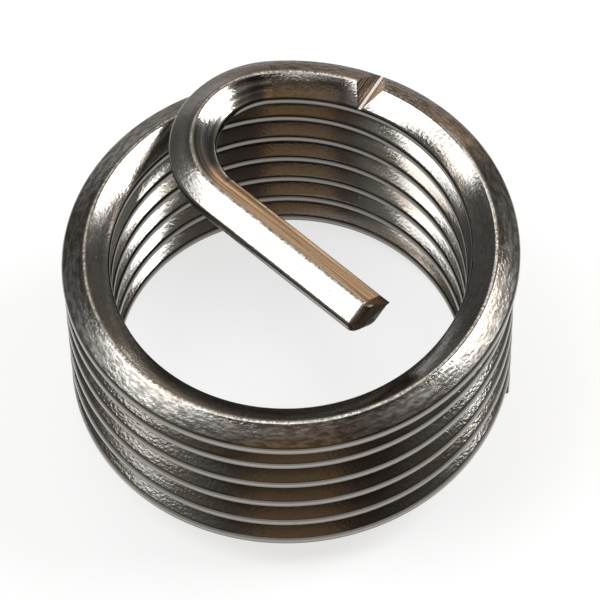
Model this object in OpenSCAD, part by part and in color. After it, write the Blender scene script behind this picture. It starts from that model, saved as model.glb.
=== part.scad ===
// Wire thread insert: one length of diamond-section stainless wire wound as a right-hand coil,
// with a driving tang bent across the bore at its upper end and a break-off notch in the first turn.
// The coil stands on its free end, its axis is the Z axis and the tang lies along X.

/* [Coil] */
// Outer diameter of the coil as it lies free
coil_od = 16.7; // [16.2:0.05:18]
// Turns of wire from the start of the tang bend to the free end
coil_turns = 6.29; // [3:0.01:9]
// Air between one turn and the next, measured along the axis
turn_gap = 0.024; // [0.02:0.002:0.2]
// How far the first turn has sprung out past the other turns
first_turn_spread = 0.23; // [0:0.01:0.4]
// Length of the sprung first turn, as a share of a full turn
spread_turns = 0.85; // [0.6:0.01:0.95]

/* [Wire section] */
// Thickness of the wire across its upper and lower crests
wire_thickness = 1.312; // [1:0.002:1.5]
// Included angle of the thread flanks, in degrees
thread_angle = 60; // [50:0.5:70]
// Width of the flat on the inside of the coil
inner_flat = 0.34; // [0.1:0.01:0.6]
// Width of the flat on the outside of the coil
outer_flat = 0.4; // [0.1:0.01:0.6]
// Width of the blunted upper and lower crests
crest_flat = 0.155; // [0.05:0.005:0.4]

/* [Tang] */
// Radius of the bend that leads into the tang, to the middle of the wire
bend_radius = 3.1; // [2:0.05:3.6]
// Angle that the wire turns through in the bend, in degrees
bend_angle = 130; // [115:0.5:140]
// Straight length of the tang after the bend
tang_length = 7.73; // [3:0.01:8.5]
// How far the coil is drawn in where the bend starts
bend_inset = 0.16; // [0:0.01:0.3]
// Length over which the coil is drawn in, as a share of a full turn
inset_turns = 0.2; // [0.1:0.01:0.4]
// Rise of the tang above the start of the bend
tang_rise = 0.2; // [0:0.01:0.5]
// Roll-over that the shear left round the upper outer side of the tang's cut end
end_rounding = 0.34; // [0.1:0.01:0.6]

/* [Break-off notch] */
// Angle along the coil from the start of the bend to the notch, in degrees
notch_position = 31; // [15:0.5:60]
// Depth of the notch below the upper crest
notch_depth = 0.49; // [0.2:0.01:0.8]
// Included angle of the notch, in degrees
notch_angle = 90; // [60:1:120]
// Angle of the notch away from a straight radial cut, in degrees, clockwise below zero
notch_skew = -5.5; // [-15:0.5:15]

/* [Smoothness] */
// Facets in each turn of the coil
facets_per_turn = 96; // [48:4:96]
// Facets in the bend
bend_facets = 26; // [12:1:32]
// Facets across the rounding of the tang's end
rounding_facets = 5; // [3:1:6]

/* [Hidden] */

// Metal left on the lands of the sweep, which the land cylinders then take off
land_stock = 0.02;
// Least gap between the faceted lands of the first turn and the land cylinders
land_gap = 0.002;
// Overlap that keeps cutting shapes clear of the surfaces that they cut
cut_margin = 1;
land_fn = 180;
// Direction that the tang's outer side faces
tang_facing = 270;

pitch = wire_thickness + turn_gap;
half_angle = thread_angle / 2;
inner_run = (wire_thickness - inner_flat) / 2 / tan(half_angle);
outer_run = (wire_thickness - outer_flat) / 2 / tan(half_angle);
wire_depth = inner_run + crest_flat + outer_run;
outer_r = coil_od / 2;
bore_r = outer_r - wire_depth;
wire_r = outer_r - wire_depth / 2;

// The bend starts on the coil where its tang, bent through bend_angle, comes to lie along X
bend_start = tang_facing - bend_angle;
joint_r = wire_r - bend_inset;
bend_centre = (joint_r - bend_radius) * [cos(bend_start), sin(bend_start)];
free_end_z = wire_thickness / 2;
joint_z = free_end_z + pitch * coil_turns;
tang_z = joint_z + tang_rise;
// The regular turns, which carry both threads, end where the first turn starts to spring out
land_reach = max(inner_flat, outer_flat) / 2;
regular_top = joint_z - pitch * spread_turns - land_reach;
// Turns from the start of the bend down to where both lands lie a facet or more below that height
trimmed_from = spread_turns + 2 * land_reach / pitch + 2 / facets_per_turn;
// How far the corners of the faceted lands above it stay clear of the land cylinders
land_relief = bore_r * (1 - cos(180 / facets_per_turn)) + land_gap;

// Eases from 0 to 1 with level ends
function ease(t) = (1 - cos(180 * min(max(t, 0), 1))) / 2;

// Radial shift of the wire, counted in turns from the start of the bend
function spring_out(u) = u < spread_turns ? first_turn_spread * pow(sin(180 * u / spread_turns), 2) : 0;
function drawn_in(u) = bend_inset * (1 - ease(u / inset_turns));

// A station is [x, y, z, direction of the section's outer side, scale of the section, land stock]
function tang_station(along, scale) = [
    bend_centre[0] + along,
    bend_centre[1] - bend_radius,
    tang_z,
    tang_facing,
    scale,
    -land_relief
];
function bend_station(turned) = [
    bend_centre[0] + bend_radius * cos(bend_start + turned),
    bend_centre[1] + bend_radius * sin(bend_start + turned),
    joint_z + tang_rise * ease(turned / bend_angle),
    bend_start + turned,
    1,
    -land_relief
];
function coil_station(u) = let (
    angle = bend_start - 360 * u,
    r = wire_r + spring_out(u) - drawn_in(u),
    stock = u < trimmed_from ? -land_relief : land_stock
) [r * cos(angle), r * sin(angle), joint_z - pitch * u, angle, 1, stock];

end_scale = 1 - end_rounding / wire_thickness;
end_stations = [
    for (i = [0:rounding_facets])
        let (turned = 90 * i / rounding_facets)
            tang_station(
                tang_length - end_rounding * (1 - sin(turned)),
                end_scale + (1 - end_scale) * cos(turned)
            )
];
bend_stations = [for (i = [0:bend_facets]) bend_station(bend_angle * (1 - i / bend_facets))];
coil_steps = ceil(coil_turns * facets_per_turn);
coil_stations = [
    for (i = [1:coil_steps])
        coil_station(min(i / facets_per_turn, coil_turns))
];
// From the tang's cut end, along the bend and down the coil to the free end
stations = concat(
    [for (i = [rounding_facets:-1:0]) end_stations[i]],
    bend_stations,
    coil_stations
);

// Section of the wire as [outward, up] points round its middle, counterclockwise
inner_x = -wire_depth / 2;
outer_x = wire_depth / 2;
crest_in = inner_x + inner_run;
crest_out = outer_x - outer_run;
function section(stock) = [
    [outer_x + stock, -outer_flat / 2],
    [outer_x + stock, outer_flat / 2],
    [crest_out, wire_thickness / 2],
    [crest_in, wire_thickness / 2],
    [inner_x - stock, inner_flat / 2],
    [inner_x - stock, -inner_flat / 2],
    [crest_in, -wire_thickness / 2],
    [crest_out, -wire_thickness / 2]
];
sides = len(section(0));
// Where the shear's roll-over ends, in the middle of the lower inner flank
sharp_side = [inner_x + inner_run / 2, -(wire_thickness + inner_flat) / 4];

function ring(s) = [
    for (p = section(s[5]))
        let (q = sharp_side + s[4] * (p - sharp_side))
            [s[0] + q[0] * cos(s[3]), s[1] + q[0] * sin(s[3]), s[2] + q[1]]
];

// The bare wire, swept along its stations as one closed solid
module swept_wire() {
    last = len(stations) - 1;
    points = [for (s = stations) each ring(s)];
    start_cap = [[for (j = [0:sides - 1]) j]];
    end_cap = [[for (j = [sides - 1:-1:0]) last * sides + j]];
    skin = [
        for (i = [0:last - 1], j = [0:sides - 1])
            let (
                a = i * sides + j,
                b = i * sides + (j + 1) % sides,
                c = a + sides,
                d = b + sides
            )
                each [[a, c, b], [b, c, d]]
    ];
    polyhedron(points = points, faces = concat(start_cap, skin, end_cap), convexity = 10);
}

// Room inside the inner lands of the regular turns
module bore_room() {
    translate([0, 0, -cut_margin])
        cylinder(r = bore_r, h = regular_top + cut_margin, $fn = land_fn);
}

// Everything outside the outer lands of the regular turns
module outside_room() {
    height = regular_top + cut_margin;
    translate([0, 0, -cut_margin])
        difference() {
            cylinder(r = outer_r + cut_margin, h = height, $fn = land_fn);
            translate([0, 0, -cut_margin])
                cylinder(r = outer_r, h = height + 2 * cut_margin, $fn = land_fn);
        }
}

// V-shaped cut across the top of the first turn
module break_notch() {
    u = notch_position / 360;
    s = coil_station(u);
    rise = wire_thickness / 2 + cut_margin - notch_depth;
    half_width = (notch_depth + rise) * tan(notch_angle / 2);
    translate([s[0], s[1], s[2] + wire_thickness / 2 - notch_depth])
        rotate([0, 0, s[3] + notch_skew])
            rotate([90, 0, 90])
                linear_extrude(height = wire_depth + 2 * cut_margin, center = true)
                    polygon([[0, 0], [half_width, notch_depth + rise], [-half_width, notch_depth + rise]]);
}

module wire_coil() {
    color("silver")
        difference() {
            swept_wire();
            bore_room();
            outside_room();
            break_notch();
        }
}

wire_coil();
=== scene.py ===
import math
from types import SimpleNamespace

import bpy
from mathutils import Matrix, Vector


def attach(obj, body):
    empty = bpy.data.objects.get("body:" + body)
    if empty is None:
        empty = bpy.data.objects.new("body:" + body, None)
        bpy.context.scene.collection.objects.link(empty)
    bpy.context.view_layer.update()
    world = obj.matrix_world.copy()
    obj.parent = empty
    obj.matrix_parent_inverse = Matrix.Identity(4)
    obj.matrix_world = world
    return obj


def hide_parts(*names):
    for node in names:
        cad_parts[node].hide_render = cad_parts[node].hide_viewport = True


bl_info = {
    "name": "Wire Thread Insert",
    "version": (1, 0, 0),
    "blender": (4, 5, 0),
    "location": "3D View > Sidebar > Insert",
    "description": "Drawn and rolled wire coil with a driving tang, and the studio around it",
    "category": "Add Mesh",
}

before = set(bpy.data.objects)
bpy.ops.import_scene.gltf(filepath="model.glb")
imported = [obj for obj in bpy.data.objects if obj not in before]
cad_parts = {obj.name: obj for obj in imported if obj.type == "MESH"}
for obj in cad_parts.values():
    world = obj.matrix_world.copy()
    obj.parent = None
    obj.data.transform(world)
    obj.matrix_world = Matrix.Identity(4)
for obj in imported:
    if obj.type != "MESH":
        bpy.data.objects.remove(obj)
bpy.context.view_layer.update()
MM = 0.001

# How far the drawn wire stays inside the solid's outer lands, so that it never stands past them
BOX_CLEARANCE = 0.01 * MM
# Edges that turn more than this stay sharp
SHARP_TURN = math.radians(35)

# Points closer than this are one point, so that the swept skin and its ends close
WELD_DISTANCE = 0.001 * MM

# Rings of the mesh round the tang's cut end and round its bend, and rings that the burr reaches over
ROLL_RINGS = 7
BEND_RINGS = 52
BURR_RINGS = 3.0
# Points on each rounded edge of the section
ROUNDING_POINTS = 3
# Size of the notch's cutter: its height in notch depths and its length in wire depths
CUTTER_HEIGHT = 3.0
CUTTER_LENGTH = 2.0
# Where along the coil a turn comes to lie under another, in turns, and over how much
COVER_START = 0.88
COVER_FADE = 0.17
# Length along the wire that marks the tang and its bend, far from any on the coil
BEFORE_COIL = -1.0
# Direction that the tang's outer side faces
TANG_FACING = math.radians(270)


class Field:
    """A number or vector inside a node tree, so that a formula can be written as one."""

    def __init__(self, tree, socket):
        self.tree = tree
        self.socket = socket

    def __add__(self, other):
        return calc(self.tree, "ADD", self, other)

    def __radd__(self, other):
        return calc(self.tree, "ADD", other, self)

    def __sub__(self, other):
        return calc(self.tree, "SUBTRACT", self, other)

    def __rsub__(self, other):
        return calc(self.tree, "SUBTRACT", other, self)

    def __mul__(self, other):
        return calc(self.tree, "MULTIPLY", self, other)

    def __truediv__(self, other):
        return calc(self.tree, "DIVIDE", self, other)

    def __neg__(self):
        return calc(self.tree, "MULTIPLY", self, -1.0)


def feed(tree, socket, value):
    """Links a field to a socket, or sets a plain value on it."""
    if isinstance(value, Field):
        tree.links.new(value.socket, socket)
    else:
        socket.default_value = value


def calc(tree, operation, *values):
    node = tree.nodes.new("ShaderNodeMath")
    node.operation = operation
    for socket, value in zip(node.inputs, values):
        feed(tree, socket, value)
    return Field(tree, node.outputs[0])


def add_node(tree, kind, inputs=None, **settings):
    """A node with its settings, and with its inputs given by name or number."""
    node = tree.nodes.new(kind)
    for name, value in settings.items():
        setattr(node, name, value)
    for name, value in (inputs or {}).items():
        feed(tree, node.inputs[name], value)
    return node


def out(tree, node, name=0):
    return Field(tree, node.outputs[name])


def vector(tree, x, y, z):
    return out(tree, add_node(tree, "ShaderNodeCombineXYZ", {0: x, 1: y, 2: z}))


def switch(tree, test, yes, no):
    return out(tree, add_node(tree, "GeometryNodeSwitch", {0: test, 1: no, 2: yes}, input_type="FLOAT"))


def cosine(angle):
    return calc(angle.tree, "COSINE", angle)


def sine(angle):
    return calc(angle.tree, "SINE", angle)


def below(value, limit):
    return calc(value.tree, "LESS_THAN", value, limit)


def ease(t):
    """From 0 to 1 with level ends, as in the solid's source."""
    held = calc(t.tree, "MAXIMUM", calc(t.tree, "MINIMUM", t, 1.0), 0.0)
    return (1.0 - cosine(held * math.pi)) / 2.0


WIRE_INPUTS = (
    ("Coil Diameter", "coil_diameter"),
    ("Turns", "turns"),
    ("Turn Gap", "turn_gap"),
    ("First Turn Spread", "first_turn_spread"),
    ("Spread Turns", "spread_turns"),
    ("Wire Thickness", "wire_thickness"),
    ("Thread Angle", "thread_angle"),
    ("Inner Flat", "inner_flat"),
    ("Outer Flat", "outer_flat"),
    ("Crest Flat", "crest_flat"),
    ("Crest Rounding", "crest_rounding"),
    ("Land Rounding", "land_rounding"),
    ("Bend Radius", "bend_radius"),
    ("Bend Angle", "bend_angle"),
    ("Tang Length", "tang_length"),
    ("Bend Inset", "bend_inset"),
    ("Inset Turns", "inset_turns"),
    ("Tang Rise", "tang_rise"),
    ("End Rounding", "end_rounding"),
    ("End Burr", "end_burr"),
    ("Notch Position", "notch_position"),
    ("Notch Depth", "notch_depth"),
    ("Notch Angle", "notch_angle"),
    ("Notch Skew", "notch_skew"),
    ("Notch Flat", "notch_flat"),
    ("Rings Per Turn", "rings_per_turn"),
)


class WireSizes(bpy.types.PropertyGroup):
    coil_diameter: bpy.props.FloatProperty(
        name="Coil Diameter",
        description="Outer diameter of the coil as it lies free",
        default=16.7 * MM,
        unit="LENGTH",
    )
    turns: bpy.props.FloatProperty(
        name="Turns",
        description="Turns of wire from the start of the tang bend to the free end",
        default=6.29,
    )
    turn_gap: bpy.props.FloatProperty(
        name="Turn Gap",
        description="Air between one turn and the next, along the axis",
        default=0.024 * MM,
        unit="LENGTH",
    )
    first_turn_spread: bpy.props.FloatProperty(
        name="First Turn Spread",
        description="How far the first turn has sprung out past the others",
        default=0.23 * MM,
        unit="LENGTH",
    )
    spread_turns: bpy.props.FloatProperty(
        name="Spread Turns",
        description="Length of the sprung first turn, as a share of a full turn",
        default=0.85,
    )
    wire_thickness: bpy.props.FloatProperty(
        name="Wire Thickness",
        description="Thickness of the wire across its upper and lower crests",
        default=1.312 * MM,
        unit="LENGTH",
    )
    thread_angle: bpy.props.FloatProperty(
        name="Thread Angle",
        description="Included angle of the thread flanks",
        default=math.radians(60),
        unit="ROTATION",
    )
    inner_flat: bpy.props.FloatProperty(
        name="Inner Flat",
        description="Width of the flat on the inside of the coil",
        default=0.34 * MM,
        unit="LENGTH",
    )
    outer_flat: bpy.props.FloatProperty(
        name="Outer Flat",
        description="Width of the flat on the outside of the coil",
        default=0.4 * MM,
        unit="LENGTH",
    )
    crest_flat: bpy.props.FloatProperty(
        name="Crest Flat",
        description="Width of the blunted upper and lower crests",
        default=0.155 * MM,
        unit="LENGTH",
    )
    crest_rounding: bpy.props.FloatProperty(
        name="Crest Rounding",
        description="Radius that rolling left on the edges of the crests",
        default=0.05 * MM,
        unit="LENGTH",
    )
    land_rounding: bpy.props.FloatProperty(
        name="Land Rounding",
        description="Radius that rolling left on the edges of the inner and outer flats",
        default=0.17 * MM,
        unit="LENGTH",
    )
    bend_radius: bpy.props.FloatProperty(
        name="Bend Radius",
        description="Radius of the bend into the tang, to the middle of the wire",
        default=3.1 * MM,
        unit="LENGTH",
    )
    bend_angle: bpy.props.FloatProperty(
        name="Bend Angle",
        description="Angle that the wire turns through in the bend",
        default=math.radians(130),
        unit="ROTATION",
    )
    tang_length: bpy.props.FloatProperty(
        name="Tang Length",
        description="Straight length of the tang after the bend",
        default=7.73 * MM,
        unit="LENGTH",
    )
    bend_inset: bpy.props.FloatProperty(
        name="Bend Inset",
        description="How far the coil is drawn in where the bend starts",
        default=0.16 * MM,
        unit="LENGTH",
    )
    inset_turns: bpy.props.FloatProperty(
        name="Inset Turns",
        description="Length over which the coil is drawn in, as a share of a full turn",
        default=0.2,
    )
    tang_rise: bpy.props.FloatProperty(
        name="Tang Rise",
        description="Rise of the tang above the start of the bend",
        default=0.2 * MM,
        unit="LENGTH",
    )
    end_rounding: bpy.props.FloatProperty(
        name="End Rounding",
        description="Roll-over that the shear left round the tang's cut end",
        default=0.34 * MM,
        unit="LENGTH",
    )
    end_burr: bpy.props.FloatProperty(
        name="End Burr",
        description="How far the shear drew out the upper inner edge of the tang's cut end",
        default=0.13 * MM,
        unit="LENGTH",
    )
    notch_position: bpy.props.FloatProperty(
        name="Notch Position",
        description="Angle along the coil from the start of the bend to the notch",
        default=math.radians(31),
        unit="ROTATION",
    )
    notch_depth: bpy.props.FloatProperty(
        name="Notch Depth",
        description="Depth of the notch below the upper crest",
        default=0.49 * MM,
        unit="LENGTH",
    )
    notch_angle: bpy.props.FloatProperty(
        name="Notch Angle",
        description="Included angle of the notch",
        default=math.radians(90),
        unit="ROTATION",
    )
    notch_skew: bpy.props.FloatProperty(
        name="Notch Skew",
        description="Angle of the notch away from a straight radial cut",
        default=math.radians(-5.5),
        unit="ROTATION",
    )
    notch_flat: bpy.props.FloatProperty(
        name="Notch Flat",
        description="Width of the flat that the punch left in the notch's valley",
        default=0.1 * MM,
        unit="LENGTH",
    )
    rings_per_turn: bpy.props.IntProperty(
        name="Rings Per Turn",
        description="Rings of the mesh in each turn of the coil",
        default=180,
    )


class WireFinish(bpy.types.PropertyGroup):
    steel: bpy.props.FloatVectorProperty(
        name="Steel",
        description="Colour of the bright drawn steel",
        subtype="COLOR",
        min=0.0,
        max=1.0,
        default=(0.50, 0.49, 0.47),
    )
    land: bpy.props.FloatVectorProperty(
        name="Lands",
        description="Colour of the rolled flats on the inside and outside of the coil",
        subtype="COLOR",
        min=0.0,
        max=1.0,
        default=(0.31, 0.30, 0.275),
    )
    # Painted shade: this colour darkens the flanks between the turns and the lands' edges, and it is also
    # the dark of the scuffs
    shade_and_scuff: bpy.props.FloatVectorProperty(
        name="Shade And Scuffs",
        description="Colour of the painted shade between the turns and on the lands, and of the scuffs",
        subtype="COLOR",
        min=0.0,
        max=1.0,
        default=(0.045, 0.04, 0.034),
    )
    warm_film: bpy.props.FloatVectorProperty(
        name="Warm Film",
        description="Colour of the thin brown film that lies in patches",
        subtype="COLOR",
        min=0.0,
        max=1.0,
        default=(0.42, 0.33, 0.23),
    )
    pit: bpy.props.FloatVectorProperty(
        name="Pits",
        description="Colour in the fine pits",
        subtype="COLOR",
        min=0.0,
        max=1.0,
        default=(0.16, 0.145, 0.13),
    )
    # Also a painted glint: the crests take this bright colour in broken patches
    bright_wear_and_glint: bpy.props.FloatVectorProperty(
        name="Bright Wear And Glint",
        description="Colour of the crests where they are rubbed bright, and of their painted glints",
        subtype="COLOR",
        min=0.0,
        max=1.0,
        default=(0.80, 0.77, 0.70),
    )
    cut_metal: bpy.props.FloatVectorProperty(
        name="Cut Metal",
        description="Colour of the sheared ends and of the notch",
        subtype="COLOR",
        min=0.0,
        max=1.0,
        default=(0.12, 0.085, 0.068),
    )
    cut_streak: bpy.props.FloatVectorProperty(
        name="Cut Streaks",
        description="Colour of the bright streaks on the sheared ends and in the notch",
        subtype="COLOR",
        min=0.0,
        max=1.0,
        default=(0.52, 0.43, 0.32),
    )
    # A painted highlight: the valley's flat in the notch is painted near white
    valley_highlight: bpy.props.FloatVectorProperty(
        name="Valley Highlight",
        description="Colour of the painted highlight on the flat in the notch's valley",
        subtype="COLOR",
        min=0.0,
        max=1.0,
        default=(0.92, 0.90, 0.86),
    )
    roughness: bpy.props.FloatProperty(
        name="Roughness",
        description="Roughness of the smoothest steel",
        min=0.0,
        max=1.0,
        default=0.1,
    )
    grain_height: bpy.props.FloatProperty(
        name="Grain Height",
        description="Height of the fine grain that rolling left",
        default=0.007 * MM,
        unit="LENGTH",
    )
    line_height: bpy.props.FloatProperty(
        name="Draw Mark Height",
        description="Height of the marks that the drawing die left along the wire",
        default=0.001 * MM,
        unit="LENGTH",
    )
    notch_lean: bpy.props.FloatProperty(
        name="Notch Lean",
        description="Rise of the surface over the stretch of wire that the notch's punch bent",
        default=0.72 * MM,
        unit="LENGTH",
    )


class StudioLooks(bpy.types.PropertyGroup):
    floor: bpy.props.FloatVectorProperty(
        name="Floor",
        description="Colour of the paper floor",
        subtype="COLOR",
        min=0.0,
        max=1.0,
        default=(0.44, 0.445, 0.455),
    )
    far_floor: bpy.props.FloatVectorProperty(
        name="Far Floor",
        description="Colour of the floor outside the pool of light",
        subtype="COLOR",
        min=0.0,
        max=1.0,
        default=(0.19, 0.15, 0.115),
    )
    floor_lift: bpy.props.FloatProperty(
        name="Floor Lift",
        description="How much of the floor's white is its own, where the camera and the metal see it",
        min=0.0,
        max=1.0,
        default=0.69,
    )


def group_inputs(tree, sizes):
    given = add_node(tree, "NodeGroupInput")
    fields = {}
    for label, prop in WIRE_INPUTS:
        socket = tree.interface.new_socket(label, in_out="INPUT", socket_type="NodeSocketFloat")
        socket.default_value = getattr(sizes, prop)
        fields[prop] = Field(tree, given.outputs[label])
    tree.interface.new_socket("Material", in_out="INPUT", socket_type="NodeSocketMaterial")
    fields["material"] = Field(tree, given.outputs["Material"])
    return fields


def wire_section(tree, size, inner_run, outer_run, depth):
    """The wire's rolled section as a closed curve, outward along x and up along y."""
    half_t = size["wire_thickness"] / 2.0
    half_in = size["inner_flat"] / 2.0
    half_out = size["outer_flat"] / 2.0
    inner_x = depth / -2.0
    outer_x = depth / 2.0 - BOX_CLEARANCE
    crest_in = inner_x + inner_run
    crest_out = depth / 2.0 - outer_run
    corners = (
        (crest_in, -half_t),
        (crest_out, -half_t),
        (outer_x, -half_out),
        (outer_x, half_out),
        (crest_out, half_t),
        (crest_in, half_t),
        (inner_x, half_in),
        (inner_x, -half_in),
    )
    pick = add_node(tree, "GeometryNodeIndexSwitch", data_type="VECTOR")
    radius = add_node(tree, "GeometryNodeIndexSwitch", data_type="FLOAT")
    while len(pick.index_switch_items) < len(corners):
        pick.index_switch_items.new()
        radius.index_switch_items.new()
    index = out(tree, add_node(tree, "GeometryNodeInputIndex"))
    feed(tree, pick.inputs[0], index)
    feed(tree, radius.inputs[0], index)
    on_land = (2, 3, 6, 7)
    for n, (x, y) in enumerate(corners):
        feed(tree, pick.inputs[n + 1], vector(tree, x, y, 0.0))
        feed(tree, radius.inputs[n + 1], size["land_rounding" if n in on_land else "crest_rounding"])
    line = out(tree, add_node(tree, "GeometryNodeMeshLine", {"Count": len(corners)}))
    placed = add_node(tree, "GeometryNodeSetPosition", {"Geometry": line, "Position": out(tree, pick)})
    curve = add_node(tree, "GeometryNodeMeshToCurve", {"Mesh": out(tree, placed)})
    closed = add_node(tree, "GeometryNodeSetSplineCyclic", {0: out(tree, curve), "Cyclic": True})
    rounded = add_node(
        tree,
        "GeometryNodeFilletCurve",
        {0: out(tree, closed), "Radius": out(tree, radius), "Count": ROUNDING_POINTS},
        mode="POLY",
    )
    return out(tree, rounded)


def coil_radius(size, wire_r, u):
    """Radius of the coil after a number of turns: sprung out on the first one, drawn in at the bend."""
    swing = sine(u / size["spread_turns"] * math.pi)
    spread = size["first_turn_spread"] * swing * swing * below(u, size["spread_turns"])
    inset = size["bend_inset"] * (1.0 - ease(u / size["inset_turns"]))
    return wire_r + spread - inset


def wire_stations(tree, size, ring, depth, pitch):
    """The wire's middle at each ring, with its outward direction, scale and length along the wire."""
    bend_r = size["bend_radius"]
    wire_r = size["coil_diameter"] / 2.0 - depth / 2.0
    bend_start = TANG_FACING - size["bend_angle"]
    arm = wire_r - size["bend_inset"] - bend_r
    bend_x = arm * cosine(bend_start)
    bend_y = arm * sine(bend_start)
    joint_z = size["wire_thickness"] / 2.0 + pitch * size["turns"]

    # The cut end: a quarter round from the end face back to the straight tang
    rolled = calc(tree, "MAXIMUM", (float(ROLL_RINGS) - ring) / (ROLL_RINGS - 1.0), 0.0)
    rolled = calc(tree, "MINIMUM", rolled, 1.0) * (math.pi / 2)
    end_scale = 1.0 - size["end_rounding"] / size["wire_thickness"]
    roll_scale = end_scale + (1.0 - end_scale) * cosine(rolled)
    along = size["tang_length"] - size["end_rounding"] * (1.0 - sine(rolled))
    in_tang = below(ring, ROLL_RINGS + 0.5)
    bend_end = ROLL_RINGS + 1.0 + BEND_RINGS
    in_bend = below(ring, bend_end + 0.5)

    turned = size["bend_angle"] * (1.0 - (ring - (ROLL_RINGS + 1.0)) / float(BEND_RINGS))
    bend_face = bend_start + turned
    bend_z = joint_z + size["tang_rise"] * ease(turned / size["bend_angle"])

    u = calc(tree, "MINIMUM", (ring - bend_end) / size["rings_per_turn"], size["turns"])
    coil_face = bend_start - u * (2 * math.pi)
    coil_r = coil_radius(size, wire_r, u)

    def choose(tang, bend, coil):
        return switch(tree, in_tang, tang, switch(tree, in_bend, bend, coil))

    past_notch = (u * (2 * math.pi) - size["notch_position"]) * wire_r
    return SimpleNamespace(
        x=choose(bend_x + along, bend_x + bend_r * cosine(bend_face), coil_r * cosine(coil_face)),
        y=choose(bend_y - bend_r, bend_y + bend_r * sine(bend_face), coil_r * sine(coil_face)),
        z=choose(joint_z + size["tang_rise"], bend_z, joint_z - pitch * u),
        facing=choose(TANG_FACING, bend_face, coil_face),
        scale=switch(tree, in_tang, roll_scale, 1.0),
        run=choose(
            size["bend_angle"] * bend_r * -1.0 - along,
            turned * bend_r * -1.0,
            u * wire_r * (2 * math.pi),
        ),
        turn=choose(0.0, 0.0, u),
        past_notch=choose(BEFORE_COIL, BEFORE_COIL, past_notch),
    )


def notch_cutter(tree, size, depth, pitch):
    """A prism whose narrow lower face is the valley of the break-off notch."""
    u = size["notch_position"] / (2 * math.pi)
    wire_r = size["coil_diameter"] / 2.0 - depth / 2.0
    coil_r = coil_radius(size, wire_r, u)
    facing = TANG_FACING - size["bend_angle"] - size["notch_position"]
    joint_z = size["wire_thickness"] / 2.0 + pitch * size["turns"]
    valley_z = joint_z - pitch * u + size["wire_thickness"] / 2.0 - size["notch_depth"]
    height = size["notch_depth"] * CUTTER_HEIGHT
    half_width = height * calc(tree, "TANGENT", size["notch_angle"] / 2.0)
    extent = vector(tree, depth * CUTTER_LENGTH, half_width * 2.0, height)
    box = add_node(tree, "GeometryNodeMeshCube", {"Size": extent})
    place = add_node(tree, "GeometryNodeInputPosition")
    split = add_node(tree, "ShaderNodeSeparateXYZ", {0: out(tree, place)})
    local_x, local_y, local_z = (out(tree, split, n) for n in range(3))
    upper = calc(tree, "GREATER_THAN", local_z, 0.0)
    spread = upper + (1.0 - upper) * size["notch_flat"] / 2.0 / half_width
    narrowed = vector(tree, local_x, local_y * spread, local_z + height / 2.0)
    wedge = add_node(tree, "GeometryNodeSetPosition", {"Geometry": out(tree, box), "Position": narrowed})
    runs = vector(tree, local_x, local_z, 0.0)
    marked = store(tree, out(tree, wedge), "wire_run", runs, "FLOAT2")
    marked = store(tree, marked, "cut_face", 1.0, "FLOAT")
    move = add_node(
        tree,
        "GeometryNodeTransform",
        {
            "Geometry": marked,
            "Translation": vector(tree, coil_r * cosine(facing), coil_r * sine(facing), valley_z),
            "Rotation": vector(tree, 0.0, 0.0, facing + size["notch_skew"]),
        },
    )
    return out(tree, move)


def store(tree, geometry, name, value, data_type):
    """Keeps each point's value on the mesh's corners, so that a seam keeps both of its sides."""
    at_points = add_node(tree, "GeometryNodeFieldOnDomain", domain="POINT")
    at_points.data_type = "FLOAT" if data_type == "FLOAT" else "FLOAT_VECTOR"
    feed(tree, at_points.inputs[0], value)
    node = add_node(
        tree,
        "GeometryNodeStoreNamedAttribute",
        {"Geometry": geometry},
        data_type=data_type,
        domain="CORNER",
    )
    node.inputs["Name"].default_value = name
    feed(tree, node.inputs["Value"], out(tree, at_points))
    return out(tree, node)


def sample(tree, geometry, value, index, data_type="FLOAT"):
    inputs = {"Geometry": geometry, "Value": value, "Index": index}
    return out(tree, add_node(tree, "GeometryNodeSampleIndex", inputs, data_type=data_type))


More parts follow.
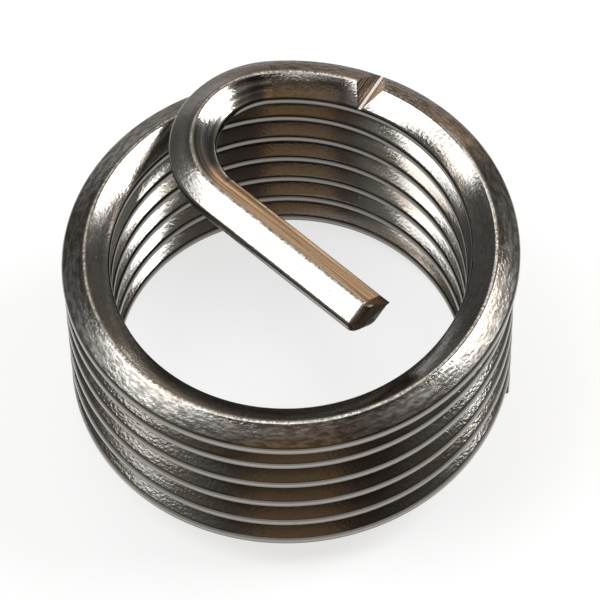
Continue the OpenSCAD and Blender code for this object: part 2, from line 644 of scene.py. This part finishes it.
def build_wire_tree(sizes):
    """The tree that sweeps the wire along its coil, bend and tang, and cuts the notch."""
    tree = bpy.data.node_groups.new("Wire Thread Insert", "GeometryNodeTree")
    size = group_inputs(tree, sizes)
    tree.interface.new_socket("Geometry", in_out="OUTPUT", socket_type="NodeSocketGeometry")

    slope = calc(tree, "TANGENT", size["thread_angle"] / 2.0)
    inner_run = (size["wire_thickness"] - size["inner_flat"]) / 2.0 / slope
    outer_run = (size["wire_thickness"] - size["outer_flat"]) / 2.0 / slope
    depth = inner_run + size["crest_flat"] + outer_run
    pitch = size["wire_thickness"] + size["turn_gap"]

    section = wire_section(tree, size, inner_run, outer_run, depth)
    count = add_node(tree, "GeometryNodeAttributeDomainSize", {0: section}, component="CURVE")
    sides = out(tree, count, "Point Count")
    coil_rings = calc(tree, "CEIL", size["turns"] * size["rings_per_turn"])
    rings = coil_rings + (ROLL_RINGS + 1.0 + BEND_RINGS + 2.0)
    grid = add_node(tree, "GeometryNodeMeshGrid", {"Vertices X": rings, "Vertices Y": sides + 1.0})

    index = out(tree, add_node(tree, "GeometryNodeInputIndex"))
    row = sides + 1.0
    ring = calc(tree, "FLOOR", (index + 0.5) / row)
    step = index - ring * row
    at = calc(tree, "MODULO", step, sides)
    station = wire_stations(tree, size, ring, depth, pitch)

    position = out(tree, add_node(tree, "GeometryNodeInputPosition"))
    parts = add_node(tree, "ShaderNodeSeparateXYZ", {0: sample(tree, section, position, at, "FLOAT_VECTOR")})
    outward, upward = out(tree, parts, 0), out(tree, parts, 1)
    # The roll-over keeps the upper edge of the inner flat sharp
    sharp_x = depth / -2.0
    sharp_y = size["inner_flat"] / 2.0
    scaled_x = sharp_x + station.scale * (outward - sharp_x)
    scaled_y = sharp_y + station.scale * (upward - sharp_y)
    # The first and last rings close the wire's ends
    closing = below(ring, 0.5) + calc(tree, "GREATER_THAN", ring, rings - 1.5)
    spoke = 1.0 - closing
    reach = scaled_x * spoke
    rise = scaled_y * spoke
    # The shear drew that edge out into a burr
    at_end = ease(1.0 - (ring - 1.0) / BURR_RINGS) * calc(tree, "GREATER_THAN", ring, 0.5)
    burr = size["end_burr"] * at_end * ease(outward / sharp_x * 2.0 - 1.0)
    burr = burr * ease(upward / size["inner_flat"] + 0.5)
    place = vector(
        tree,
        station.x + burr + reach * cosine(station.facing),
        station.y + reach * sine(station.facing),
        station.z + rise,
    )
    swept = add_node(tree, "GeometryNodeSetPosition", {"Geometry": out(tree, grid), "Position": place})

    length_at = sample(tree, section, out(tree, add_node(tree, "GeometryNodeSplineParameter"), "Length"), at)
    whole = sample(tree, section, out(tree, add_node(tree, "GeometryNodeSplineLength")), 0)
    around = switch(tree, below(step, sides - 0.5), length_at, whole)
    sheared = below(ring, ROLL_RINGS - 0.5) + calc(tree, "GREATER_THAN", ring, rings - 2.5)
    run = vector(
        tree,
        switch(tree, sheared, rise, station.run),
        switch(tree, sheared, reach, around),
        0.0,
    )
    marked = store(tree, out(tree, swept), "wire_run", run, "FLOAT2")
    marked = store(tree, marked, "cut_face", calc(tree, "MINIMUM", sheared, 1.0) * 0.5, "FLOAT")
    # Where a point lies on the section: outward and up, each from -1 to 1, and across the crests
    crest_middle = inner_run + size["crest_flat"] / 2.0 - depth / 2.0
    section_place = vector(
        tree,
        outward / (depth / 2.0),
        upward / (size["wire_thickness"] / 2.0),
        (outward - crest_middle) / size["crest_flat"],
    )
    marked = store(tree, marked, "section_place", section_place, "FLOAT_VECTOR")
    marked = store(tree, marked, "past_notch", station.past_notch, "FLOAT")
    # From 0 on the open first turn to 1 on the turns that lie under another
    marked = store(tree, marked, "covered", ease((station.turn - COVER_START) / COVER_FADE), "FLOAT")
    closed = add_node(tree, "GeometryNodeMergeByDistance", {"Geometry": marked, "Distance": WELD_DISTANCE})

    cut = add_node(tree, "GeometryNodeMeshBoolean", operation="DIFFERENCE", solver="EXACT")
    feed(tree, cut.inputs["Mesh 1"], out(tree, closed))
    feed(tree, cut.inputs["Mesh 2"], notch_cutter(tree, size, depth, pitch))

    smooth = {0: out(tree, cut), "Shade Smooth": True}
    faces = add_node(tree, "GeometryNodeSetShadeSmooth", smooth, domain="FACE")
    turn = out(tree, add_node(tree, "GeometryNodeInputMeshEdgeAngle"))
    edges = add_node(
        tree,
        "GeometryNodeSetShadeSmooth",
        {0: out(tree, faces), "Shade Smooth": below(turn, SHARP_TURN)},
        domain="EDGE",
    )
    real = add_node(tree, "GeometryNodeRealizeInstances", {0: out(tree, edges)})
    dressed = add_node(tree, "GeometryNodeSetMaterial", {0: out(tree, real), "Material": size["material"]})
    result = add_node(tree, "NodeGroupOutput")
    tree.links.new(dressed.outputs[0], result.inputs[0])
    return tree


def plain_mesh(piece):
    """Turns the evaluated object into a plain mesh without its modifiers."""
    depsgraph = bpy.context.evaluated_depsgraph_get()
    mesh = bpy.data.meshes.new_from_object(piece.evaluated_get(depsgraph), depsgraph=depsgraph)
    piece.modifiers.clear()
    piece.data = mesh
    mesh.name = piece.name


def make_wire(sizes, material):
    """The whole insert as one piece, made by its tree."""
    tree = build_wire_tree(sizes)
    piece = bpy.data.objects.new("coil_wire", bpy.data.meshes.new("coil_wire"))
    bpy.context.scene.collection.objects.link(piece)
    sweep = piece.modifiers.new("Sweep", "NODES")
    sweep.node_group = tree
    labels = dict(WIRE_INPUTS)
    for item in tree.interface.items_tree:
        if item.name == "Material":
            sweep[item.identifier] = material
        elif item.in_out == "INPUT":
            sweep[item.identifier] = float(getattr(sizes, labels[item.name]))
    soften = piece.modifiers.new("Even Shading", "WEIGHTED_NORMAL")
    soften.keep_sharp = True
    plain_mesh(piece)
    return piece


def attribute(tree, name, output="Vector"):
    return out(tree, add_node(tree, "ShaderNodeAttribute", attribute_name=name), output)


def noise(tree, place, along, across, detail):
    """Noise in lumps of a given length along the wire and width across it, in millimetres."""
    scaled = add_node(
        tree,
        "ShaderNodeVectorMath",
        {0: place, 1: (1.0 / (along * MM), 1.0 / (across * MM), 1.0)},
        operation="MULTIPLY",
    )
    inputs = {"Vector": out(tree, scaled), "Scale": 1.0, "Detail": detail}
    return out(tree, add_node(tree, "ShaderNodeTexNoise", inputs))


def remap(value, low, high, to_low=0.0, to_high=1.0):
    """A held ramp from one range to another, with soft ends."""
    node = add_node(
        value.tree,
        "ShaderNodeMapRange",
        {"Value": value, "From Min": low, "From Max": high, "To Min": to_low, "To Max": to_high},
        interpolation_type="SMOOTHSTEP",
    )
    return out(value.tree, node)


def blend_colour(tree, share, first, second):
    node = add_node(tree, "ShaderNodeMix", data_type="RGBA")
    feed(tree, node.inputs[0], share)
    feed(tree, node.inputs[6], first if isinstance(first, Field) else (*first, 1.0))
    feed(tree, node.inputs[7], second if isinstance(second, Field) else (*second, 1.0))
    return out(tree, node, 2)


# Noise over the wire: length of its lumps along the wire and width across it in millimetres, detail
PATTERNS = {
    "grain": (0.13, 0.10, 3.0),
    "draw_marks": (5.0, 0.05, 2.0),
    "swell": (1.1, 0.5, 1.0),
    "chatter": (0.11, 0.7, 2.0),
    "pits": (0.26, 0.2, 2.0),
    "film": (7.0, 1.4, 2.0),
    "patches": (2.4, 0.6, 2.0),
    "streaks": (9.0, 0.18, 2.0),
    "scuffs": (0.42, 0.15, 4.0),
}
# Heights of the relief in millimetres, and how much of the grain there is inside and outside the coil
SWELL_HEIGHT = 0.003
CHATTER_HEIGHT = 0.003
PIT_DEPTH = 0.002
INSIDE_GRAIN = 0.6
OUTSIDE_GRAIN = 1.5
# How much stronger the draw marks are where the punch tore the notch
TORN_MARKS = 5.0
# Stretch of wire that the notch's punch left leaning, from before the notch to past it
LEAN_START = -1.2 * MM
LEAN_END = 5.0 * MM
# Width of the two edges, across the notch, of the painted highlight on its valley's flat
VALLEY_LEFT = (-0.008 * MM, -0.002 * MM)
VALLEY_RIGHT = (0.004 * MM, 0.012 * MM)
# How strongly each layer of colour covers the one under it, where it is thickest
FILM_SHARE = 0.5
PIT_SHARE = 0.6
DARK_STREAK_SHARE = 0.7
SCUFF_SHARE = 0.58
PEPPER_SHARE = 0.22
# How much of the scuffing a turn is spared that lies under another
SHELTER = 0.85


def wire_zones(tree, place, pattern):
    """Masks for the parts of the wire's surface, from what its tree stored there."""
    section = add_node(tree, "ShaderNodeSeparateXYZ", {0: attribute(tree, "section_place")})
    outward = out(tree, section, 0)
    reach, rise, off_crest = (calc(tree, "ABSOLUTE", out(tree, section, n)) for n in range(3))
    # 0.5 on the sheared ends and 1 in the punched notch
    cut_kind = attribute(tree, "cut_face", "Fac")
    punched = remap(cut_kind, 0.6, 0.9)
    across = out(tree, add_node(tree, "ShaderNodeSeparateXYZ", {0: place}), 1)
    past_notch = attribute(tree, "past_notch", "Fac")
    covered = attribute(tree, "covered", "Fac")
    return SimpleNamespace(
        outward=outward,
        reach=reach,
        rise=rise,
        inner=remap(outward, -0.1, 0.1, 1.0, 0.0),
        land=remap(reach, 0.90, 0.97),
        crest=remap(rise, 0.95, 0.99) * remap(off_crest, 0.12, 0.4, 1.0, 0.0),
        covered=covered,
        exposed=1.0 - covered * SHELTER,
        past_notch=past_notch,
        tang=remap(past_notch, BEFORE_COIL / 2.0, BEFORE_COIL / 2.5, 1.0, 0.0),
        pits=remap(pattern["pits"], 0.70, 0.78),
        cut=calc(tree, "MINIMUM", cut_kind * 2.0, 1.0),
        punched=punched,
        valley=punched * remap(across, *VALLEY_RIGHT, 1.0, 0.0) * remap(across, *VALLEY_LEFT),
    )


def steel_height(finish, zone, pattern):
    """The surface's relief in millimetres, coarser on the outer flanks than inside the coil."""
    grain = pattern["grain"] * finish.grain_height / MM * (1.0 - zone.land * 0.75)
    marks = pattern["draw_marks"] * finish.line_height / MM
    return (
        grain * (OUTSIDE_GRAIN - zone.inner * (OUTSIDE_GRAIN - INSIDE_GRAIN))
        + marks * (1.0 + zone.punched * TORN_MARKS)
        + pattern["swell"] * SWELL_HEIGHT
        + pattern["chatter"] * zone.crest * CHATTER_HEIGHT
        - zone.pits * PIT_DEPTH
        + remap(zone.past_notch, LEAN_START, LEAN_END, 0.0, finish.notch_lean / MM)
    )


def steel_colour(tree, finish, zone, pattern):
    """Bright steel under layers of film, dirt and wear, and of painted shade, painted sheen, painted glints
    and a painted highlight, each with its share of the surface.
    """
    flank = 1.0 - zone.land
    # A land is painted brightest along its middle and darker towards its edges, a painted sheen and shade of
    # its rounded face, and darker inside the coil
    land_sheen_and_shade = remap(zone.rise, 0.04, 0.16, 0.0, 0.55) + zone.inner * 0.18
    lands = blend_colour(tree, land_sheen_and_shade, finish.land, finish.shade_and_scuff)
    # Painted shade on the flanks of turns that lie under another, strongest near the crest and weaker inside
    # the coil
    painted_shade_between_turns = zone.covered * flank * (1.0 - zone.inner * 0.45)
    painted_shade_between_turns = painted_shade_between_turns * remap(zone.reach, 0.25, 0.92, 0.9, 0.45)
    # The tang's inner flank keeps clear drawn streaks, and the outer flanks are scuffed in patches
    tang_inside = zone.tang * zone.inner * flank
    scuffed = remap(pattern["scuffs"], 0.40, 0.60) * remap(zone.outward, 0.0, 0.25, 0.3, 1.0)
    scuffed = scuffed * zone.exposed * flank * (1.0 - zone.tang)
    pepper = remap(pattern["grain"], 0.46, 0.66) * flank * (1.0 - tang_inside)
    # The crests are rubbed bright in broken patches, partly wear and partly a painted glint along the ridge
    rubbed = remap(pattern["chatter"], 0.4, 0.6, 0.2, 1.0)
    crests = blend_colour(tree, rubbed, finish.land, finish.bright_wear_and_glint)
    torn = remap(pattern["draw_marks"], 0.42, 0.62) * (zone.punched * 0.8 + 0.2)
    cuts = blend_colour(tree, torn, finish.cut_metal, finish.cut_streak)
    # The notch's valley takes the painted highlight
    cuts = blend_colour(tree, zone.valley, cuts, finish.valley_highlight)
    layers = (
        (remap(pattern["film"], 0.5, 0.68) * FILM_SHARE, finish.warm_film),
        (zone.land, lands),
        (painted_shade_between_turns, finish.shade_and_scuff),
        (zone.pits * PIT_SHARE, finish.pit),
        (tang_inside * remap(pattern["streaks"], 0.52, 0.64), finish.bright_wear_and_glint),
        (tang_inside * remap(pattern["streaks"], 0.48, 0.38) * DARK_STREAK_SHARE, finish.pit),
        (scuffed * SCUFF_SHARE, finish.shade_and_scuff),
        (pepper * PEPPER_SHARE, finish.pit),
        (zone.crest, crests),
        (zone.cut, cuts),
    )
    colour = finish.steel
    for share, layer in layers:
        colour = blend_colour(tree, share, colour, layer)
    return colour


def steel_roughness(finish, zone, pattern):
    """Roughness in broad patches, higher on open outer flanks, in pits, on crests and on cuts."""
    open_flank = (1.0 - zone.land) * zone.exposed
    return (
        remap(pattern["patches"], 0.35, 0.7, finish.roughness, finish.roughness + 0.08)
        + remap(zone.outward, 0.1, 0.4, 0.0, 0.13) * open_flank
        + zone.pits * 0.25
        + zone.crest * 0.15
        + zone.cut * (zone.valley * 0.35 + 0.15)
    )


def make_steel(finish):
    """Bright drawn and rolled stainless steel, with draw marks, pits, film, scuffs, worn crests with painted
    glints, painted shade between the turns and on the lands, and a painted highlight in the notch's valley.
    """
    steel = bpy.data.materials.new("stainless_wire")
    steel.use_nodes = True
    tree = steel.node_tree
    shader = tree.nodes["Principled BSDF"]
    shader.inputs["Metallic"].default_value = 1.0

    place = attribute(tree, "wire_run")
    pattern = {name: noise(tree, place, *lumps) for name, lumps in PATTERNS.items()}
    zone = wire_zones(tree, place, pattern)
    height = steel_height(finish, zone, pattern)
    bump = add_node(tree, "ShaderNodeBump", {"Height": height, "Distance": 1.0 * MM, "Strength": 1.0})
    feed(tree, shader.inputs["Normal"], out(tree, bump))
    feed(tree, shader.inputs["Base Color"], steel_colour(tree, finish, zone, pattern))
    feed(tree, shader.inputs["Roughness"], steel_roughness(finish, zone, pattern))
    return steel


# The camera of the photograph, found from the turns' edges: its place, the angles by which it looks
# down, turns from the Y axis and rolls, its focal length and the image's width in pixels
CAMERA_PLACE = Vector((65.53, -65.53, 146.95)) * MM
CAMERA_DOWN = math.radians(56.81851)
CAMERA_TURN = math.radians(44.7647)
CAMERA_ROLL = math.radians(-1.30032)
FOCAL_PIXELS = 4536.9
IMAGE_PIXELS = 600.0
SENSOR = 36.0
NEAREST_SEEN = 1.0 * MM


def make_camera():
    data = bpy.data.cameras.new("Camera")
    data.sensor_width = SENSOR
    data.lens = SENSOR * FOCAL_PIXELS / IMAGE_PIXELS
    data.clip_start = NEAREST_SEEN
    camera = bpy.data.objects.new("Camera", data)
    bpy.context.scene.collection.objects.link(camera)
    level = math.cos(CAMERA_DOWN)
    ahead = Vector(
        (-math.sin(CAMERA_TURN) * level, math.cos(CAMERA_TURN) * level, -math.sin(CAMERA_DOWN))
    )
    right = ahead.cross(Vector((0.0, 0.0, 1.0))).normalized()
    up = right.cross(ahead)
    rolled_right = right * math.cos(CAMERA_ROLL) + up * math.sin(CAMERA_ROLL)
    rolled_up = up * math.cos(CAMERA_ROLL) - right * math.sin(CAMERA_ROLL)
    camera.matrix_world = Matrix((
        (rolled_right.x, rolled_up.x, -ahead.x, CAMERA_PLACE.x),
        (rolled_right.y, rolled_up.y, -ahead.y, CAMERA_PLACE.y),
        (rolled_right.z, rolled_up.z, -ahead.z, CAMERA_PLACE.z),
        (0.0, 0.0, 0.0, 1.0),
    ))
    bpy.context.scene.camera = camera
    return camera


# Direction of the camera's side of the insert, seen from above
CAMERA_SIDE = math.radians(-45.0)


def toward(side, height):
    """Unit vector at an angle round from the camera's side towards its right, and at a height angle."""
    turn = CAMERA_SIDE + math.radians(side)
    level = math.cos(math.radians(height))
    return Vector((math.cos(turn) * level, math.sin(turn) * level, math.sin(math.radians(height))))


# Softboxes: name, side, height, width and height as angles seen from the insert, brightness, colour
SOFTBOXES = (
    ("window_left", -90.0, 58.0, 28.0, 38.0, 3.4, (1.0, 0.995, 0.985)),
    ("window_right", 102.0, 48.0, 27.0, 22.0, 7.0, (1.0, 0.995, 0.985)),
    ("window_back", -157.0, 66.0, 22.0, 12.0, 2.5, (1.0, 0.99, 0.97)),
    ("lamp_back", 160.0, 18.0, 8.0, 7.0, 3.0, (1.0, 0.95, 0.86)),
    ("lamp_amber", 163.0, 5.5, 27.0, 9.0, 0.56, (1.0, 0.58, 0.28)),
    ("ceiling", 0.0, 90.0, 30.0, 30.0, 1.2, (1.0, 1.0, 1.0)),
)
SOFTBOX_DISTANCE = 0.4

# The room's walls: side, how pale the wall is low down, colour
WALLS = (
    (-180.0, 0.0, (0.34, 0.30, 0.25)),
    (-173.0, 0.0, (0.22, 0.17, 0.13)),
    (-168.0, 1.0, (0.20, 0.18, 0.16)),
    (-150.0, 1.0, (0.09, 0.088, 0.085)),
    (-144.0, 0.0, (0.09, 0.088, 0.085)),
    (-120.0, 0.0, (0.10, 0.097, 0.092)),
    (-60.0, 0.0, (0.26, 0.24, 0.21)),
    (-48.0, 0.0, (0.20, 0.185, 0.16)),
    (-36.0, 0.0, (0.09, 0.08, 0.07)),
    (-26.0, 0.0, (0.07, 0.06, 0.05)),
    (-24.0, 0.0, (0.26, 0.18, 0.11)),
    (0.0, 0.0, (0.24, 0.165, 0.098)),
    (16.0, 0.0, (0.25, 0.165, 0.09)),
    (20.0, 0.0, (0.07, 0.055, 0.045)),
    (44.0, 0.0, (0.055, 0.045, 0.037)),
    (52.0, 0.0, (0.12, 0.10, 0.08)),
    (70.0, 0.0, (0.14, 0.125, 0.105)),
    (85.0, 0.0, (0.30, 0.28, 0.26)),
    (115.0, 0.0, (0.20, 0.19, 0.18)),
    (126.0, 0.0, (0.10, 0.098, 0.095)),
    (145.0, 0.0, (0.12, 0.11, 0.10)),
    (157.0, 0.0, (0.26, 0.20, 0.15)),
    (168.0, 0.0, (0.34, 0.29, 0.23)),
)


def add_softbox(name, side, height, width, length, brightness, colour):
    data = bpy.data.lights.new(name, "AREA")
    data.shape = "RECTANGLE"
    data.size = 2.0 * SOFTBOX_DISTANCE * math.tan(math.radians(width / 2.0))
    data.size_y = 2.0 * SOFTBOX_DISTANCE * math.tan(math.radians(length / 2.0))
    data.energy = brightness * math.pi * data.size * data.size_y
    data.color = colour
    box = bpy.data.objects.new(name, data)
    direction = toward(side, height)
    box.location = direction * SOFTBOX_DISTANCE
    box.rotation_euler = (-direction).to_track_quat("-Z", "Y").to_euler()
    bpy.context.scene.collection.objects.link(box)


# The low wall is pale up to this height and the ceiling dark from there, as sines of the height angle
LOW_WALL = (0.05, 0.14)
CEILING = (0.875, 0.897)
LOW_WALL_COLOUR = (0.85, 0.85, 0.85)
CEILING_COLOUR = (0.0, 0.0, 0.0)
CEILING_SHARE = 0.8


def make_room():
    """The plain room round the floor, as a world whose walls change with direction."""
    world = bpy.data.worlds.new("room")
    world.use_nodes = True
    tree = world.node_tree
    direction = out(tree, add_node(tree, "ShaderNodeTexCoord"), "Generated")
    ahead, right = toward(0.0, 0.0), toward(90.0, 0.0)
    along = add_node(tree, "ShaderNodeVectorMath", {0: direction, 1: ahead}, operation="DOT_PRODUCT")
    across = add_node(tree, "ShaderNodeVectorMath", {0: direction, 1: right}, operation="DOT_PRODUCT")
    side = calc(tree, "ARCTAN2", out(tree, across, "Value"), out(tree, along, "Value"))
    walls = add_node(tree, "ShaderNodeValToRGB", {0: side / (2 * math.pi) + 0.5})
    stops = walls.color_ramp.elements
    stops.remove(stops[1])
    for angle, pale, colour in WALLS:
        stop = stops.new((angle + 180.0) / 360.0) if angle > -180.0 else stops[0]
        stop.color = (*colour, pale)
    rise = out(tree, add_node(tree, "ShaderNodeSeparateXYZ", {0: direction}), 2)
    low = remap(rise, *LOW_WALL, 1.0, 0.0) * out(tree, walls, "Alpha")
    colour = blend_colour(tree, low, out(tree, walls, "Color"), LOW_WALL_COLOUR)
    high = remap(rise, *CEILING, 0.0, CEILING_SHARE)
    colour = blend_colour(tree, high, colour, CEILING_COLOUR)
    feed(tree, tree.nodes["Background"].inputs["Color"], colour)
    bpy.context.scene.world = world


FLOOR_HALF = 500.0 * MM
# Where the pool of light on the floor starts to fade, and where it ends
POOL_INNER = 22.0 * MM
POOL_OUTER = 50.0 * MM


def make_floor(studio):
    """A pale floor that darkens into the room, lifted to white for the camera and the reflections."""
    signs = ((-1, -1), (1, -1), (1, 1), (-1, 1))
    corners = [(x * FLOOR_HALF, y * FLOOR_HALF, 0.0) for x, y in signs]
    mesh = bpy.data.meshes.new("floor")
    mesh.from_pydata(corners, [], [(0, 1, 2, 3)])
    floor = bpy.data.objects.new("floor", mesh)
    bpy.context.scene.collection.objects.link(floor)
    paper = bpy.data.materials.new("pale_paper")
    paper.use_nodes = True
    tree = paper.node_tree
    shader = tree.nodes["Principled BSDF"]
    spot = out(tree, add_node(tree, "ShaderNodeTexCoord"), "Object")
    spot = add_node(tree, "ShaderNodeVectorMath", {0: spot}, operation="LENGTH")
    near = remap(out(tree, spot, "Value"), POOL_INNER, POOL_OUTER, 1.0, 0.0)
    feed(tree, shader.inputs["Base Color"], blend_colour(tree, near, studio.far_floor, studio.floor))
    shader.inputs["Roughness"].default_value = 1.0
    shader.inputs["Specular IOR Level"].default_value = 0.0
    shader.inputs["Emission Color"].default_value = (1.0, 1.0, 1.0, 1.0)
    seen = add_node(tree, "ShaderNodeLightPath")
    rays = out(tree, seen, "Is Camera Ray") + out(tree, seen, "Is Glossy Ray")
    rays = calc(tree, "MINIMUM", rays + out(tree, seen, "Is Transmission Ray"), 1.0)
    feed(tree, shader.inputs["Emission Strength"], rays * near * studio.floor_lift)
    mesh.materials.append(paper)


class INSERT_OT_make_wire(bpy.types.Operator):
    """Makes the wire coil with its tang and notch"""

    bl_idname = "insert.make_wire"
    bl_label = "Make Wire"

    def execute(self, context):
        piece = make_wire(context.scene.insert_wire, make_steel(context.scene.insert_finish))
        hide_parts("wire_coil")
        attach(piece, "root")
        return {"FINISHED"}


class INSERT_OT_make_stage(bpy.types.Operator):
    """Makes the floor, the lights and the camera"""

    bl_idname = "insert.make_stage"
    bl_label = "Make Stage"

    def execute(self, context):
        make_camera()
        make_floor(context.scene.insert_studio)
        make_room()
        for softbox in SOFTBOXES:
            add_softbox(*softbox)
        context.scene.view_settings.view_transform = "Standard"
        return {"FINISHED"}


PANEL_ROWS = (
    ("insert.make_wire", ("insert_wire", "insert_finish")),
    ("insert.make_stage", ("insert_studio",)),
)


class INSERT_PT_panel(bpy.types.Panel):
    """The insert's operators, sizes and colours"""

    bl_idname = "INSERT_PT_panel"
    bl_label = "Wire Thread Insert"
    bl_space_type = "VIEW_3D"
    bl_region_type = "UI"
    bl_category = "Insert"

    def draw(self, context):
        layout = self.layout
        for operator, groups in PANEL_ROWS:
            layout.operator(operator)
            box = layout.box()
            for group in groups:
                values = getattr(context.scene, group)
                for name in values.__annotations__:
                    box.prop(values, name)


CLASSES = (WireSizes, WireFinish, StudioLooks, INSERT_OT_make_wire, INSERT_OT_make_stage, INSERT_PT_panel)


def register():
    for cls in CLASSES:
        bpy.utils.register_class(cls)
    bpy.types.Scene.insert_wire = bpy.props.PointerProperty(type=WireSizes)
    bpy.types.Scene.insert_finish = bpy.props.PointerProperty(type=WireFinish)
    bpy.types.Scene.insert_studio = bpy.props.PointerProperty(type=StudioLooks)


def unregister():
    del bpy.types.Scene.insert_studio
    del bpy.types.Scene.insert_finish
    del bpy.types.Scene.insert_wire
    for cls in reversed(CLASSES):
        bpy.utils.unregister_class(cls)


def main():
    register()
    bpy.ops.insert.make_wire()
    bpy.ops.insert.make_stage()


if __name__ == "__main__":
    main()
